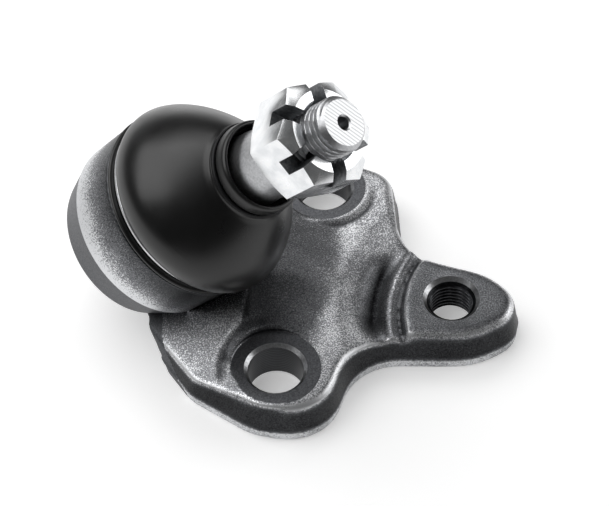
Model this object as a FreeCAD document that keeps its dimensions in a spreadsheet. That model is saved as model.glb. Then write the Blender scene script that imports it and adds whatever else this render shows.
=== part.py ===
import FreeCAD, Part
import math
import os
import Sketcher
from FreeCAD import Placement, Rotation, Vector

# Suspension ball joint: a forged housing with three fixing holes, a ball stud on a slant,
# its seats, spring and end cap, a rubber boot with two wire rings, and a castle nut.
# Frame: millimetres, +Z up. The origin lies on the machined underside, midway between the
# two plain holes. +X points to the threaded hole and the plain holes lie along Y.

doc = FreeCAD.newDocument("BallJoint")
sheet = doc.addObject("Spreadsheet::Sheet", "Sizes")

# Driving sizes in millimetres and degrees; each one is a cell of the sheet with this alias
sizes = {
    # Fixing flange
    "holeSpacing": 60,
    "plainHoleDia": 14,
    "plainBossDia": 23.4,
    "plainBossDraft": 1.8,
    "holeChamfer": 0.9,
    "threadOffset": 38.9,
    "threadMajor": 12,
    "threadPitch": 1.25,
    "threadChamferDia": 14.4,
    "flangeThick": 11.6,
    "partingHeight": 2.6,
    "forgeDraft": 9,
    "lowerDraft": 6,
    "topEdgeRound": 2.6,
    # Outline of the flange in plan: the two ears differ, the rest is the same on both sides
    "tipReach": 56.1,
    "tipBackHalf": 5.6,
    "tipFrontHalf": 3.6,
    "tipRound": 9,
    "shoulderSetback": 9.1,
    "shoulderY": 11.6,
    "shoulderRound": 18,
    "frontWaistX": 18.2,
    "frontWaistY": 17.2,
    "waistRound": 14.5,
    "frontEarX": 15.2,
    "earY": 43.1,
    "frontEarRound": 13.6,
    "backWaistX": 24.2,
    "backWaistY": 14,
    "backEarX": 17.4,
    "backEarY": 39.2,
    "backEarRound": 9,
    "earInnerX": 3.8,
    "earInnerRound": 12,
    "cornerX": 20.6,
    "cornerY": 36,
    "cornerRound": 4.5,
    "wingX": 38.5,
    "wingY": 18.5,
    "wingEndX": 46,
    "wingEndY": 6,
    # Raised pad round the threaded hole and the two shallow valleys beside it
    "padArc": 32,
    "padStart": 27.4,
    "valleyDrop": 2.4,
    "valleyWidth": 3.2,
    "ridgeDrop": 1.4,
    "ridgeWidth": 2.4,
    "webRun": 17,
    # Web that climbs from the flange to the cup
    "webFoot": 8.6,
    "webTop": 17,
    "webCornerX": 18.4,
    "webCornerY": 36,
    "webEarX": 3,
    "webEarY": 40.6,
    "webWaistX": 17,
    "webWaistY": 21.5,
    "webFront": 21.5,
    "crestX": 11.6,
    "crestY": 14.2,
    # Cup that holds the ball, measured along its own axis from the ball centre
    "ballX": -32,
    "ballZ": 29.1,
    "cupTilt": 41,
    "ballDia": 27,
    "cupRimDia": 48.2,
    "cupBeltDia": 47,
    "cupBottomDia": 40.8,
    "cupBottomEdge": 1,
    "cupShoulder": 4.6,
    "cupBelt": 9.2,
    "cupFloor": 5.3,
    "neckDia": 41.2,
    "neckTop": 9,
    "lipHeight": 2,
    "lipHold": 0.6,
    "seatWall": 2.7,
    "capLedge": 1.4,
    "capThick": 2.2,
    "capInset": 0.8,
    "capRimLedge": 0.5,
    # Running fits and gaps
    "fitGap": 0.05,
    "softGap": 0.2,
    "boreGap": 0.1,
    # Seats and spring
    "seatSplit": 1.2,
    "seatMouthAngle": 58,
    "seatFloor": 0.5,
    "reliefDia": 9,
    "springThick": 1.2,
    "springInnerDia": 12,
    "springSideGap": 1.7,
    # Ball stud, measured along its own axis from the ball centre
    "studPitchAngle": 39.25,
    "studSideAngle": 8.78,
    "studNeckDia": 13,
    "studNeckEnd": 17,
    "studShoulder": 21,
    "taperStart": 32,
    "taperLargeDia": 18.8,
    "taperSmallDia": 16.4,
    "taperEnd": 51.2,
    "studReliefDia": 11.8,
    "studThreadStart": 53,
    "studThreadDia": 14,
    "studLength": 73,
    "studEndDia": 11.3,
    "studEndChamfer": 1.3,
    "centreHoleDia": 3.2,
    "centreHoleDepth": 5,
    "pinHoleDia": 3.3,
    "pinHoleFromEnd": 9.6,
    # Castle nut
    "nutStart": 52.2,
    "nutHeight": 14.6,
    "nutFlats": 24,
    "nutTurn": 39.7,
    "slotWidth": 3.9,
    "slotDepth": 6.8,
    "nutChamferAngle": 30,
    "nutFaceDia": 22.8,
    # Boot, its two wire rings and its lean towards the tilted stud
    "bootWall": 1.8,
    "bootBeadStart": 4.8,
    "bootBeadEnd": 8.6,
    "bootSeatWall": 1.4,
    "bootLipHeight": 2.3,
    "bootSwell": 3.1,
    "bootBulgeAt": 12,
    "bootCurve": 1.8,
    "bootLean": 3.4,
    "bootFirstJoint": 14,
    "bootSecondJoint": 27,
    "collarStart": 33.5,
    "collarEnd": 40,
    "collarDia": 23.2,
    "collarGrooveDia": 21.8,
    "collarGrooveWidth": 1.8,
    "collarGrooveAt": 35.4,
    "ringWire": 1.6,
    "ringAt": 7.3,
    "clipWire": 1.2,
}
for row, (name, value) in enumerate(sizes.items(), 1):
    sheet.set("A%d" % row, str(value))
    sheet.setAlias("A%d" % row, name)
doc.recompute()


def size(name):
    """Value of one size, for placing pieces and for shapes that have no sketch."""
    return float(sheet.get(name))


def bound(obj, prop, expression):
    """Tie one property to the sheet."""
    obj.setExpression(prop, expression)


def originPlane(body, role):
    """One of a body's own origin planes, found by its role."""
    for feature in body.Origin.OriginFeatures:
        if feature.Role == role:
            return feature
    raise ValueError(role)


def newSketch(body, name, role, height=None):
    """Sketch on an origin plane of the body, raised by an expression where one is given."""
    sketch = body.newObject("Sketcher::SketchObject", name)
    sketch.AttachmentSupport = [(originPlane(body, role), "")]
    sketch.MapMode = "FlatFace"
    if height:
        bound(sketch, "AttachmentOffset.Base.z", height)
        doc.recompute()
    return sketch


def evaluated(obj, expression):
    """Number that an expression gives."""
    result = obj.evalExpression(expression)
    return float(getattr(result, "Value", result))


def addPolygon(sketch, corners):
    """Closed outline whose corners are pairs of expressions, each one a constraint."""
    points = [Vector(evaluated(sketch, x), evaluated(sketch, y), 0) for x, y in corners]
    first = sketch.GeometryCount
    count = len(points)
    for index in range(count):
        sketch.addGeometry(Part.LineSegment(points[index], points[(index + 1) % count]), False)
    for index in range(count):
        after = first + (index + 1) % count
        sketch.addConstraint(Sketcher.Constraint("Coincident", first + index, 2, after, 1))
    for index, pair in enumerate(corners):
        for kind, expression, value in zip(("DistanceX", "DistanceY"), pair, points[index]):
            at = sketch.addConstraint(Sketcher.Constraint(kind, first + index, 1, value))
            bound(sketch, "Constraints[%d]" % at, expression)


def roundCorner(sketch, corner, radius):
    """Arc in place of one corner of an outline, which keeps the corner as a point."""
    arc = sketch.GeometryCount
    sketch.fillet(corner, 1, evaluated(sketch, radius), True, True)
    at = sketch.addConstraint(Sketcher.Constraint("Radius", arc, evaluated(sketch, radius)))
    bound(sketch, "Constraints[%d]" % at, radius)


def addCircle(sketch, x, y, radius):
    """Full circle, its centre and radius bound to expressions."""
    centre = Vector(evaluated(sketch, x), evaluated(sketch, y), 0)
    circle = Part.Circle(centre, Vector(0, 0, 1), evaluated(sketch, radius))
    index = sketch.addGeometry(circle, False)
    for kind, expression, value in (("DistanceX", x, centre.x), ("DistanceY", y, centre.y)):
        at = sketch.addConstraint(Sketcher.Constraint(kind, index, 3, value))
        bound(sketch, "Constraints[%d]" % at, expression)
    at = sketch.addConstraint(Sketcher.Constraint("Radius", index, evaluated(sketch, radius)))
    bound(sketch, "Constraints[%d]" % at, radius)


def newBody(name):
    """Empty body; the caller gives it its label and placement."""
    return doc.addObject("PartDesign::Body", name)


def turned(body, name, corners):
    """Revolution about the body's Z axis of an outline given as radius and height."""
    sketch = newSketch(body, name + "Profile", "XZ_Plane")
    addPolygon(sketch, corners)
    solid = body.newObject("PartDesign::Revolution", name)
    solid.Profile = sketch
    solid.ReferenceAxis = (sketch, ["V_Axis"])
    solid.Angle = 360
    return solid


def turnedCut(body, name, corners):
    """The same outline taken out of the body."""
    sketch = newSketch(body, name + "Profile", "XZ_Plane")
    addPolygon(sketch, corners)
    cut = body.newObject("PartDesign::Groove", name)
    cut.Profile = sketch
    cut.ReferenceAxis = (sketch, ["V_Axis"])
    cut.Angle = 360
    return cut


def straightCut(body, name, sketch, length=None, upward=False, both=False):
    """Pocket through the whole body, or to a length where one is given."""
    before = body.Shape.Volume
    pocket = body.newObject("PartDesign::Pocket", name)
    pocket.Profile = sketch
    if length:
        bound(pocket, "Length", length)
    else:
        pocket.Type = "ThroughAll"
    pocket.Reversed = upward
    pocket.Midplane = both
    doc.recompute()
    if body.Shape.Volume > before - 0.01:
        raise ValueError("%s removes nothing" % name)
    return pocket


def named(obj, label, placement=None):
    """Finish a sub-part: its label, which also names its file, and its place."""
    obj.Label = label
    if placement:
        obj.Placement = placement
    return obj


# Radii and depths that follow the ball, in the sketches' own terms
seatBore = "(Sizes.ballDia / 2 + Sizes.seatWall)"
lipBore = "(Sizes.ballDia / 2 - Sizes.lipHold)"
capSeat = f"({seatBore} + Sizes.capLedge)"
capMouth = f"({seatBore} + Sizes.capRimLedge)"
seatDepth = "(Sizes.ballDia / 2 + Sizes.seatFloor)"
cupDepth = "(Sizes.ballDia / 2 + Sizes.cupFloor)"

ballCentre = Vector(size("ballX"), 0, size("ballZ"))
cupTurn = Rotation(Vector(0, 1, 0), size("cupTilt"))
studTurn = Rotation(Vector(0, 1, 0), size("studPitchAngle")).multiply(
    Rotation(Vector(1, 0, 0), size("studSideAngle"))
)
alongCup = Placement(ballCentre, cupTurn)
alongStud = Placement(ballCentre, studTurn)
cupAxis = cupTurn.multVec(Vector(0, 0, 1))
studAxis = studTurn.multVec(Vector(0, 0, 1))


# Flange of the housing: drafted slab, pad, valleys and web
def flangeBody():
    body = newBody("FlangeForging")
    back = [
        ("Sizes.tipReach", "Sizes.tipBackHalf"),
        ("Sizes.tipReach - Sizes.shoulderSetback", "Sizes.shoulderY"),
        ("Sizes.backWaistX", "Sizes.backWaistY"),
        ("Sizes.backEarX", "Sizes.backEarY"),
        ("-Sizes.earInnerX", "Sizes.earY"),
        ("-Sizes.cornerX", "Sizes.cornerY"),
        ("-Sizes.wingX", "Sizes.wingY"),
        ("-Sizes.wingEndX", "Sizes.wingEndY"),
    ]
    front = [(x, "-" + y) for x, y in back]
    front[0] = ("Sizes.tipReach", "-Sizes.tipFrontHalf")
    front[2] = ("Sizes.frontWaistX", "-Sizes.frontWaistY")
    front[3] = ("Sizes.frontEarX", "-Sizes.earY")
    outline = back + front[::-1]
    for name, length, draft, down in (
        ("SlabAboveParting", "Sizes.flangeThick - Sizes.partingHeight", "-Sizes.forgeDraft", False),
        ("SlabBelowParting", "Sizes.partingHeight", "-Sizes.lowerDraft", True),
    ):
        sketch = newSketch(body, name + "Outline", "XY_Plane", "Sizes.partingHeight")
        addPolygon(sketch, outline)
        last = len(outline) - 1
        radii = ("tip", "shoulder", "waist", "%sEar", "earInner", "corner")
        for corner, radius in enumerate(radii):
            roundCorner(sketch, corner, "Sizes.%sRound" % radius.replace("%s", "back"))
            roundCorner(sketch, last - corner, "Sizes.%sRound" % radius.replace("%s", "front"))
        pad = body.newObject("PartDesign::Pad", name)
        pad.Profile = sketch
        bound(pad, "Length", length)
        bound(pad, "TaperAngle", draft)
        pad.Reversed = down
        doc.recompute()
    # The top edge is rounded all the way round
    top = size("flangeThick")
    names = []
    for index, edge in enumerate(pad.Shape.Edges, 1):
        if all(abs(vertex.Z - top) < 1e-6 for vertex in edge.Vertexes):
            names.append("Edge%d" % index)
    rounded = body.newObject("PartDesign::Fillet", "TopEdge")
    rounded.Base = (pad, names)
    bound(rounded, "Radius", "Sizes.topEdgeRound")
    doc.recompute()
    return body


# Web: a loft from the flange's top to the foot of the cup's mouth
def webBody():
    body = newBody("WebForging")
    foot = [
        ("Sizes.webFront", "0.5"),
        ("Sizes.webWaistX", "Sizes.webWaistY"),
        ("-Sizes.webEarX", "Sizes.webEarY"),
        ("-Sizes.webCornerX", "Sizes.webCornerY"),
        ("-Sizes.wingEndX", "Sizes.wingEndY + 2"),
    ]
    top = [
        ("-Sizes.crestX + 1.2", "0.5"),
        ("-Sizes.crestX + 1", "Sizes.crestY / 2"),
        ("-Sizes.crestX + 0.5", "Sizes.crestY - 3"),
        ("-Sizes.crestX", "Sizes.crestY"),
        ("-Sizes.wingEndX + 8", "Sizes.wingEndY"),
    ]
    sections = []
    for name, half, height in (("Foot", foot, "Sizes.webFoot"), ("Crest", top, "Sizes.webTop")):
        sketch = newSketch(body, "Web" + name, "XY_Plane", height)
        addPolygon(sketch, half + [(x, "-(%s)" % y) for x, y in reversed(half)])
        sections.append(sketch)
    loft = body.newObject("PartDesign::AdditiveLoft", "Web")
    loft.Profile = sections[0]
    loft.Sections = sections[1:]
    loft.Ruled = True
    loft.Closed = False
    doc.recompute()
    return body


# Conical bosses round the two plain holes
def bossBody(side):
    body = newBody("Boss" + side)
    body.Placement = Placement(
        Vector(0, (1 if side == "Back" else -1) * size("holeSpacing") / 2, 0), Rotation()
    )
    turned(body, "BossCone" + side, [
        ("0", "Sizes.partingHeight"),
        ("Sizes.plainBossDia / 2 + Sizes.plainBossDraft", "Sizes.partingHeight"),
        ("Sizes.plainBossDia / 2", "Sizes.flangeThick"),
        ("0", "Sizes.flangeThick"),
    ])
    return body


# Outside of the cup, turned on its own slanted axis
def cupBody():
    body = newBody("CupForging")
    body.Placement = alongCup
    turned(body, "CupOutside", [
        ("0", f"-{cupDepth}"),
        ("Sizes.cupBottomDia / 2 - Sizes.cupBottomEdge", f"-{cupDepth}"),
        ("Sizes.cupBottomDia / 2", f"-{cupDepth} + Sizes.cupBottomEdge * 0.7"),
        ("Sizes.cupBeltDia / 2", "-Sizes.cupBelt"),
        ("Sizes.cupRimDia / 2", "Sizes.cupShoulder - 0.6"),
        ("Sizes.cupRimDia / 2 - 0.6", "Sizes.cupShoulder"),
        ("Sizes.neckDia / 2", "Sizes.cupShoulder"),
        ("Sizes.neckDia / 2", "Sizes.neckTop - 0.5"),
        ("Sizes.neckDia / 2 - 0.5", "Sizes.neckTop"),
        ("0", "Sizes.neckTop"),
    ])
    return body


# Space inside the cup: mouth, seat bore and the recess of the end cap. The widest part faces
# off everything that lies past the cup's bottom, the end of the flange included.
def cupBoreBody():
    body = newBody("CupBore")
    body.Placement = alongCup
    turned(body, "CupInside", [
        ("0", f"-{cupDepth} * 4"),
        ("Sizes.earY", f"-{cupDepth} * 4"),
        ("Sizes.earY", f"-{cupDepth}"),
        (capMouth, f"-{cupDepth}"),
        (capMouth, f"-{cupDepth} + Sizes.capInset"),
        (capSeat, f"-{cupDepth} + Sizes.capInset"),
        (capSeat, f"-{cupDepth} + Sizes.capInset + Sizes.capThick"),
        (seatBore, f"-{cupDepth} + Sizes.capInset + Sizes.capThick"),
        (seatBore, "Sizes.neckTop - Sizes.lipHeight"),
        (lipBore, "Sizes.neckTop - Sizes.lipHeight"),
        (f"{lipBore} + 0.3", "Sizes.neckTop + 1"),
        ("0", "Sizes.neckTop + 1"),
    ])
    return body


# Everything cut square to the flange: valleys, spot faces, holes and their chamfers
def machiningBodies():
    tools = []
    valley = newBody("ValleyCut")
    valley.Placement = Placement(Vector(size("padStart") + size("padArc"), 0, 0), Rotation())
    turned(valley, "Valleys", [
        ("Sizes.padArc", "Sizes.flangeThick + 1"),
        ("Sizes.padArc + 0.4", "Sizes.flangeThick - Sizes.valleyDrop"),
        ("Sizes.padArc + Sizes.valleyWidth / 2", "Sizes.flangeThick - Sizes.valleyDrop - 0.3"),
        ("Sizes.padArc + Sizes.valleyWidth", "Sizes.flangeThick - Sizes.ridgeDrop"),
        ("Sizes.padArc + Sizes.valleyWidth + Sizes.ridgeWidth / 2",
         "Sizes.flangeThick - Sizes.ridgeDrop + 0.1"),
        ("Sizes.padArc + Sizes.valleyWidth + Sizes.ridgeWidth",
         "Sizes.flangeThick - Sizes.valleyDrop"),
        ("Sizes.padArc + Sizes.webRun", "Sizes.flangeThick - 0.2"),
        ("Sizes.padArc + Sizes.webRun", "Sizes.flangeThick + 1"),
    ])
    tools.append(valley)
    for side in (-1, 1):
        tool = newBody("PlainHole" + ("Front" if side < 0 else "Back"))
        tool.Placement = Placement(Vector(0, side * size("holeSpacing") / 2, 0), Rotation())
        radius = "Sizes.plainHoleDia / 2"
        turned(tool, tool.Name + "Cut", [
            ("0", "-1"),
            (radius + " + Sizes.holeChamfer + 1", "-1"),
            (radius, "Sizes.holeChamfer"),
            (radius, "Sizes.flangeThick - Sizes.holeChamfer"),
            (radius + " + Sizes.holeChamfer", "Sizes.flangeThick"),
            ("Sizes.plainBossDia / 2", "Sizes.flangeThick"),
            ("Sizes.plainBossDia / 2 + 1.2", "Sizes.flangeThick + 9"),
            ("0", "Sizes.flangeThick + 9"),
        ])
        tools.append(tool)
    tool = newBody("ThreadedHole")
    tool.Placement = Placement(Vector(size("threadOffset"), 0, 0), Rotation())
    minor = "(Sizes.threadMajor - 1.0825 * Sizes.threadPitch) / 2"
    outer = "Sizes.threadChamferDia / 2"
    turned(tool, "ThreadedHoleCut", [
        ("0", "-1"),
        (outer + " + 1", "-1"),
        (minor, outer + " - " + minor),
        (minor, "Sizes.flangeThick - (%s - %s)" % (outer, minor)),
        (outer + " + 1", "Sizes.flangeThick + 1"),
        ("0", "Sizes.flangeThick + 1"),
    ])
    tools.append(tool)
    return tools


def housingPiece():
    forging = doc.addObject("Part::MultiFuse", "Forging")
    forging.Shapes = [flangeBody(), webBody(), bossBody("Front"), bossBody("Back"), cupBody()]
    forging.Refine = True
    cutters = doc.addObject("Part::MultiFuse", "Machining")
    cutters.Shapes = machiningBodies()
    cutters.Refine = False
    drilled = doc.addObject("Part::Cut", "DrilledForging")
    drilled.Base = forging
    drilled.Tool = cutters
    piece = doc.addObject("Part::Cut", "Housing")
    piece.Base = drilled
    piece.Tool = cupBoreBody()
    piece.Refine = True
    return named(piece, "housing")


# Plastic seat above the ball's middle, held by the lip of the cup
def upperSeatPiece():
    body = newBody("UpperSeat")
    turned(body, "UpperSeatBlank", [
        ("Sizes.ballDia / 2 * 0.72", "Sizes.seatSplit / 2"),
        (f"{seatBore} - Sizes.fitGap", "Sizes.seatSplit / 2"),
        (f"{seatBore} - Sizes.fitGap", "Sizes.neckTop - Sizes.lipHeight - Sizes.fitGap"),
        ("Sizes.ballDia / 2 * sin(Sizes.seatMouthAngle)",
         "Sizes.neckTop - Sizes.lipHeight - Sizes.fitGap"),
        ("Sizes.ballDia / 2 * 0.72", "Sizes.ballDia / 2 * cos(Sizes.seatMouthAngle) - 1.5"),
    ])
    ballSocket(body, "UpperSocket")
    return named(body, "upper_seat", alongCup)


# Plastic seat below the ball, with a grease well in its floor
def lowerSeatPiece():
    body = newBody("LowerSeat")
    turned(body, "LowerSeatBlank", [
        ("Sizes.reliefDia / 2", f"-{seatDepth} - 1"),
        (f"{seatBore} - 4", f"-{seatDepth} - 1"),
        (f"{seatBore} - Sizes.fitGap", f"-{seatDepth} + 3"),
        (f"{seatBore} - Sizes.fitGap", "-Sizes.seatSplit / 2"),
        ("Sizes.reliefDia / 2", "-Sizes.seatSplit / 2"),
    ])
    ballSocket(body, "LowerSocket")
    return named(body, "lower_seat", alongCup)


def ballSocket(body, name):
    """Spherical hollow with a running gap round the ball."""
    ball = body.newObject("PartDesign::SubtractiveSphere", name)
    bound(ball, "Radius", "Sizes.ballDia / 2 + Sizes.fitGap")
    doc.recompute()


# Coned disc spring that keeps the lower seat against the ball
def springPiece():
    body = newBody("PreloadSpring")
    floor = f"(-{cupDepth} + Sizes.capInset + Sizes.capThick + Sizes.softGap / 4)"
    roof = f"(-{seatDepth} - 1 - Sizes.softGap / 4)"
    rim = f"{seatBore} - Sizes.springSideGap"
    turned(body, "ConedDisc", [
        ("Sizes.springInnerDia / 2", roof + " - Sizes.springThick / 2"),
        (rim + " - 0.6", floor),
        (rim, floor),
        (rim, floor + " + Sizes.springThick / 2"),
        ("Sizes.springInnerDia / 2 + 0.6", roof),
        ("Sizes.springInnerDia / 2", roof),
    ])
    return named(body, "preload_spring", alongCup)


# Pressed cap that closes the cup; the rolled rim of the cup holds it
def endCapPiece():
    body = newBody("EndCap")
    seat = f"-{cupDepth} + Sizes.capInset"
    turned(body, "CapDisc", [
        ("0", seat + " - 0.6"),
        (f"{capMouth} - 4", seat + " - 0.6"),
        (f"{capMouth} - 3", seat),
        (f"{capSeat} - Sizes.fitGap", seat),
        (f"{capSeat} - Sizes.fitGap", seat + " + Sizes.capThick"),
        ("0", seat + " + Sizes.capThick"),
    ])
    return named(body, "end_cap", alongCup)


# Ball stud: ball, neck, shoulder, taper, relief and the threaded end
def studPiece():
    body = newBody("BallStud")
    turned(body, "Shank", [
        ("0", "0"),
        ("Sizes.studNeckDia / 2", "0"),
        ("Sizes.studNeckDia / 2", "Sizes.studNeckEnd"),
        ("Sizes.taperLargeDia / 2", "Sizes.studShoulder"),
        ("Sizes.taperLargeDia / 2", "Sizes.taperStart"),
        ("Sizes.taperSmallDia / 2", "Sizes.taperEnd"),
        ("Sizes.studReliefDia / 2", "Sizes.taperEnd"),
        ("Sizes.studReliefDia / 2", "Sizes.studThreadStart - 0.6"),
        ("Sizes.studThreadDia / 2 - Sizes.fitGap", "Sizes.studThreadStart + 0.5"),
        ("Sizes.studThreadDia / 2 - Sizes.fitGap", "Sizes.studLength - Sizes.studEndChamfer"),
        ("Sizes.studEndDia / 2", "Sizes.studLength"),
        ("0", "Sizes.studLength"),
    ])
    ball = body.newObject("PartDesign::AdditiveSphere", "Ball")
    bound(ball, "Radius", "Sizes.ballDia / 2")
    doc.recompute()
    turnedCut(body, "CentreHole", [
        ("0", "Sizes.studLength - Sizes.centreHoleDepth - 0.8"),
        ("Sizes.centreHoleDia / 2", "Sizes.studLength - Sizes.centreHoleDepth"),
        ("Sizes.centreHoleDia / 2", "Sizes.studLength - 0.4"),
        ("Sizes.centreHoleDia / 2 + 0.4", "Sizes.studLength"),
        ("0", "Sizes.studLength"),
    ])
    doc.recompute()
    pin = newSketch(body, "PinHoleOutline", "XZ_Plane")
    addCircle(pin, "0", "Sizes.studLength - Sizes.pinHoleFromEnd", "Sizes.pinHoleDia / 2")
    straightCut(body, "PinHole", pin, length="Sizes.studThreadDia * 2", both=True)
    return named(body, "ball_stud", alongStud)


# Castle nut: hexagon with six slots across its end and coned corners
def nutPiece():
    body = newBody("CastleNut")
    outline = newSketch(body, "HexOutline", "XY_Plane")
    corner = "Sizes.nutFlats / sqrt(3)"
    addPolygon(outline, [
        ("%s * cos(%d)" % (corner, angle), "%s * sin(%d)" % (corner, angle))
        for angle in range(0, 360, 60)
    ])
    hexagon = body.newObject("PartDesign::Pad", "Hexagon")
    hexagon.Profile = outline
    bound(hexagon, "Length", "Sizes.nutHeight")
    doc.recompute()
    turnedCut(body, "CornersAtFace", [
        ("Sizes.nutFaceDia / 2", "0"),
        ("Sizes.nutFlats", "0"),
        ("Sizes.nutFlats", "(Sizes.nutFlats - Sizes.nutFaceDia / 2) * tan(Sizes.nutChamferAngle)"),
    ])
    turnedCut(body, "CornersAtEnd", [
        ("Sizes.nutFaceDia / 2 - 1.2", "Sizes.nutHeight"),
        ("Sizes.nutFlats", "Sizes.nutHeight"),
        ("Sizes.nutFlats",
         "Sizes.nutHeight - (Sizes.nutFlats - Sizes.nutFaceDia / 2 + 1.2)"
         " * tan(Sizes.nutChamferAngle)"),
    ])
    bore = "Sizes.studThreadDia / 2 + Sizes.fitGap"
    turnedCut(body, "NutBore", [
        ("0", "0"),
        (bore + " + 0.8", "0"),
        (bore, "0.8"),
        (bore, "Sizes.nutHeight - 0.8"),
        (bore + " + 0.8", "Sizes.nutHeight"),
        ("0", "Sizes.nutHeight"),
    ])
    doc.recompute()
    slot = newSketch(body, "SlotOutline", "XY_Plane", "Sizes.nutHeight")
    # One slot runs square to a pair of flats; the pattern turns it to the other two pairs.
    addPolygon(slot, [
        ("Sizes.slotWidth / 2", "Sizes.nutFlats"),
        ("-Sizes.slotWidth / 2", "Sizes.nutFlats"),
        ("-Sizes.slotWidth / 2", "-Sizes.nutFlats"),
        ("Sizes.slotWidth / 2", "-Sizes.nutFlats"),
    ])
    cut = straightCut(body, "Slot", slot, length="Sizes.slotDepth")
    ring = body.newObject("PartDesign::PolarPattern", "Slots")
    ring.Originals = [cut]
    ring.Axis = (slot, ["N_Axis"])
    ring.Angle = 360
    ring.Occurrences = 6
    body.Tip = ring
    doc.recompute()
    spin = Rotation(Vector(0, 0, 1), size("nutTurn"))
    place = Placement(ballCentre + studAxis * size("nutStart"), studTurn.multiply(spin))
    return named(body, "castle_nut", place)


# Boot: circles whose centres follow the bend from the cup's axis to the stud's axis
def bootCircle(name, distance, radius):
    first = size("ringAt")
    share = (distance - first) / (size("collarStart") - first)
    share = min(max(share, 0), 1)
    ease = share * share * (3 - 2 * share)
    axis = (cupAxis * (1 - ease) + studAxis * ease).normalize()
    lean = (studAxis - cupAxis * cupAxis.dot(studAxis)).normalize()
    centre = ballCentre + axis * distance + lean * size("bootLean") * math.sin(math.pi * share)
    circle = doc.addObject("Part::Circle", name)
    circle.Radius = radius
    circle.Placement = Placement(centre, Rotation(Vector(0, 0, 1), axis))
    return circle


# The boot grips the neck, so its ring seat, lip and bulge are all built up from the neck.
ringSeat = "(Sizes.neckDia / 2 + Sizes.boreGap + Sizes.bootSeatWall)"


def bootRadius(distance):
    """Outer radius of the boot's wall: it swells to the bulge, then closes on the collar."""
    bulgeAt = size("bootBulgeAt")
    seat = evaluated(sheet, ringSeat)
    bulge = seat + size("bootSwell")
    if distance < bulgeAt:
        start = seat + size("ringWire") * 0.75
        rise = (distance - size("ringAt")) / (bulgeAt - size("ringAt"))
        return start + (bulge - start) * math.sin(math.pi / 2 * max(rise, 0))
    run = (distance - bulgeAt) / (size("collarStart") - bulgeAt)
    return bulge - (bulge - size("collarDia") / 2) * run ** size("bootCurve")


def bootShell(name, start, end, steps):
    """Stretch of the boot's wall between two distances from the ball centre."""
    surfaces = []
    for layer, inset, spare in (("Outer", 0, 0), ("Inner", size("bootWall"), 0.6)):
        low = start - spare
        high = end + spare
        circles = []
        for step in range(steps + 1):
            distance = low + (high - low) * step / steps
            label = "%s%s%d" % (name, layer, step)
            circles.append(bootCircle(label, distance, bootRadius(distance) - inset))
        loft = doc.addObject("Part::Loft", name + layer)
        loft.Sections = circles
        loft.Solid = True
        surfaces.append(loft)
    shell = doc.addObject("Part::Cut", name)
    shell.Base = surfaces[0]
    shell.Tool = surfaces[1]
    return shell


def bootSkirtPiece():
    bead = newBody("BootBead")
    lip = ringSeat + " + Sizes.bootLipHeight"
    bore = "Sizes.neckDia / 2 + Sizes.boreGap"
    crown = bootRadius(size("bootBeadEnd"))
    turned(bead, "Bead", [
        (bore, "Sizes.bootBeadStart"),
        (lip, "Sizes.bootBeadStart"),
        (lip, "Sizes.bootBeadStart + 0.9"),
        (ringSeat, "Sizes.ringAt - Sizes.ringWire / 2"),
        (ringSeat, "Sizes.ringAt + Sizes.ringWire / 2"),
        ("%.4f" % crown, "Sizes.bootBeadEnd"),
        ("%.4f" % crown, "Sizes.bootBeadEnd + 0.02"),
        (bore, "Sizes.bootBeadEnd + 0.02"),
    ])
    bead.Placement = alongCup
    wall = bootShell("SkirtWall", size("bootBeadEnd"), size("bootFirstJoint"), 3)
    skirt = doc.addObject("Part::Fuse", "BootSkirt")
    skirt.Base = bead
    skirt.Tool = wall
    return named(skirt, "boot_skirt")


def bootWallPiece():
    gap = size("softGap") / 2
    wall = bootShell("BellowWall", size("bootFirstJoint") + gap, size("bootSecondJoint") - gap, 5)
    return named(wall, "boot_wall")


def bootCollarPiece():
    collar = newBody("CollarBand")
    bore = "Sizes.taperLargeDia / 2 + Sizes.boreGap"
    half = "Sizes.collarGrooveWidth / 2"
    turned(collar, "Collar", [
        (bore, "Sizes.collarStart - 0.6"),
        ("Sizes.collarDia / 2", "Sizes.collarStart"),
        ("Sizes.collarDia / 2", "Sizes.collarGrooveAt - " + half),
        ("Sizes.collarGrooveDia / 2", "Sizes.collarGrooveAt - " + half),
        ("Sizes.collarGrooveDia / 2", "Sizes.collarGrooveAt + " + half),
        ("Sizes.collarDia / 2", "Sizes.collarGrooveAt + " + half),
        ("Sizes.collarDia / 2", "Sizes.collarEnd - 2"),
        ("Sizes.collarDia / 2 - 0.7", "Sizes.collarEnd"),
        (bore, "Sizes.collarEnd"),
    ])
    collar.Placement = alongStud
    wall = bootShell("CollarWall", size("bootSecondJoint") + size("softGap") / 2,
                     size("collarStart") + 0.02, 3)
    piece = doc.addObject("Part::Fuse", "BootCollar")
    piece.Base = collar
    piece.Tool = wall
    return named(piece, "boot_collar")


# Wire rings that hold the boot on the cup and on the stud
def wireRing(name, seat, wire):
    ring = doc.addObject("Part::Torus", name)
    bound(ring, "Radius1", "%s + %s / 2 + Sizes.fitGap" % (seat, wire))
    bound(ring, "Radius2", wire + " / 2")
    return ring


def retainingRingPiece():
    ring = wireRing("RetainingRing", ringSeat, "Sizes.ringWire")
    place = Placement(ballCentre + cupAxis * size("ringAt"), cupTurn)
    return named(ring, "boot_retaining_ring", place)


def collarClipPiece():
    ring = wireRing("CollarClip", "Sizes.collarGrooveDia / 2", "Sizes.clipWire")
    place = Placement(ballCentre + studAxis * size("collarGrooveAt"), studTurn)
    return named(ring, "collar_clip", place)


pieces = [
    housingPiece(),
    upperSeatPiece(),
    lowerSeatPiece(),
    springPiece(),
    endCapPiece(),
    studPiece(),
    nutPiece(),
    bootSkirtPiece(),
    bootWallPiece(),
    bootCollarPiece(),
    retainingRingPiece(),
    collarClipPiece(),
]
doc.recompute()

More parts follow.
